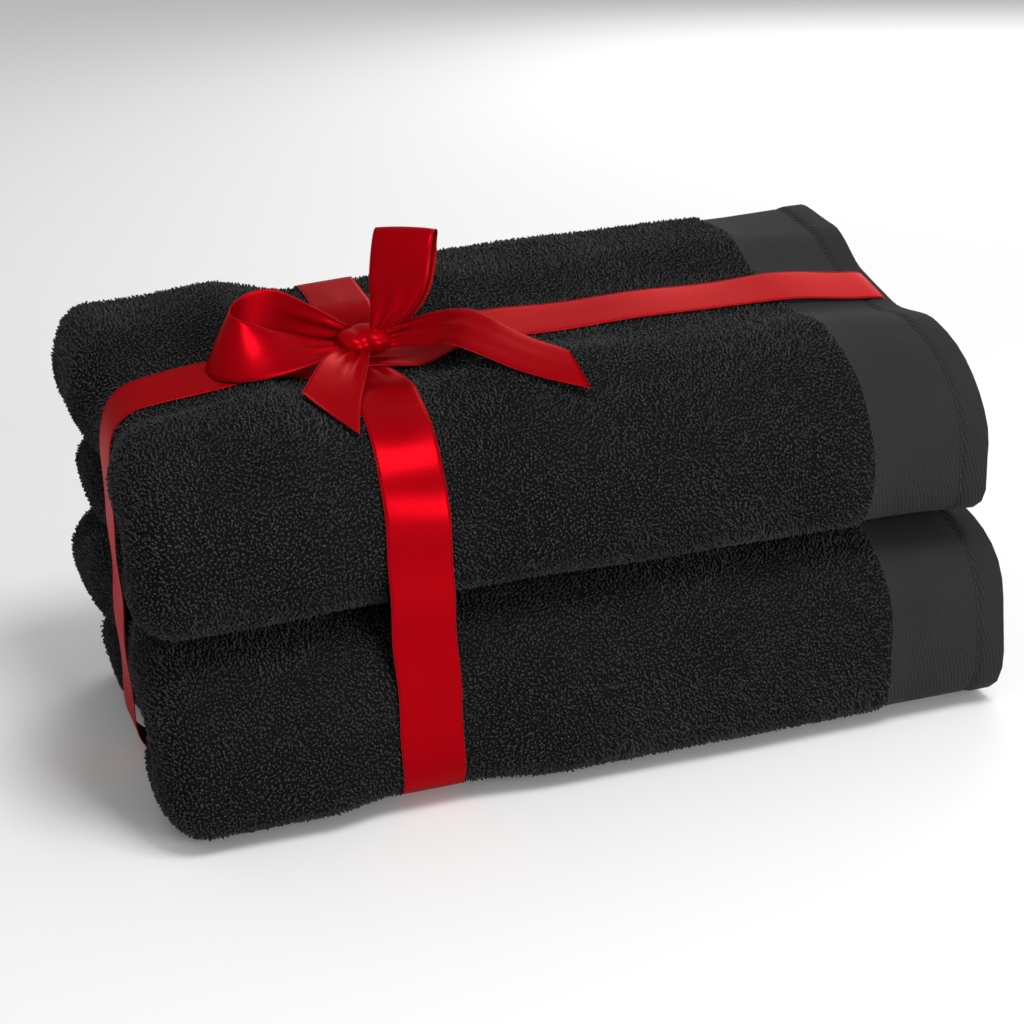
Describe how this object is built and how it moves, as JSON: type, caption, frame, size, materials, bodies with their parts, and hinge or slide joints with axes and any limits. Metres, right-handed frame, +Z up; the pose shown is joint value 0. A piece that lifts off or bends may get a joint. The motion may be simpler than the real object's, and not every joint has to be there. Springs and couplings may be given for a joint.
{
  "type": "bath towel set",
  "caption": "Folded plush terry bath towels laid one on the other and tied both ways with a satin ribbon in a bow on top.",
  "frame": {"origin": "centre of the underside of the bounding box, on the surface the stack rests on", "axes": "+X along the folded length, towards the hems; +Y towards the open edges at the back; +Z up"},
  "size_m": [0.355, 0.198, 0.2095],
  "materials": {
    "black_terry": "matte looped terry pile, black",
    "charcoal_twill": "flat diagonal twill, charcoal",
    "hem_thread": "matte cotton lockstitch, black",
    "red_satin": "double-faced satin ribbon, red, with a stitched edge"
  },
  "bodies": {
    "tied_stack": {"lower_towel_cloth": "black_terry", "lower_towel_outer_border": "charcoal_twill", "lower_towel_outer_hem": "charcoal_twill", "lower_towel_outer_hem_stitching": "hem_thread", "lower_towel_inner_border": "charcoal_twill", "lower_towel_inner_hem": "charcoal_twill", "upper_towel_cloth": "black_terry", "upper_towel_outer_border": "charcoal_twill", "upper_towel_outer_hem": "charcoal_twill", "upper_towel_outer_hem_stitching": "hem_thread", "upper_towel_inner_border": "charcoal_twill", "upper_towel_inner_hem": "charcoal_twill", "ribbon_front_strand": "red_satin", "ribbon_back_strand": "red_satin", "ribbon_long_strand": "red_satin", "ribbon_knot": "red_satin"},
    "left_loop": {"ribbon_left_loop": "red_satin"},
    "upright_loop": {"ribbon_upright_loop": "red_satin"},
    "right_tail": {"ribbon_right_tail": "red_satin"},
    "front_tail": {"ribbon_front_tail": "red_satin"}
  },
  "joints": [
    {"name": "left_loop_flex", "type": "hinge", "parent": "tied_stack", "child": "left_loop", "pos_m": [-0.0708, 0.005, 0.1699], "axis": [0, 1, 0], "range_deg": [0, 25], "stiffness_Nm_per_rad": 0.01},
    {"name": "upright_loop_flex", "type": "hinge", "parent": "tied_stack", "child": "upright_loop", "pos_m": [-0.0538, 0, 0.1709], "axis": [0.8821, -0.4711, 0], "range_deg": [-8, 4], "stiffness_Nm_per_rad": 0.02},
    {"name": "right_tail_lift", "type": "hinge", "parent": "tied_stack", "child": "right_tail", "pos_m": [-0.0503, -0.003, 0.1659], "axis": [-0.7071, -0.7071, 0], "range_deg": [0, 25]},
    {"name": "front_tail_lift", "type": "hinge", "parent": "tied_stack", "child": "front_tail", "pos_m": [-0.0673, -0.0065, 0.1649], "axis": [-0.866, 0.5, 0], "range_deg": [0, 50]}
  ]
}
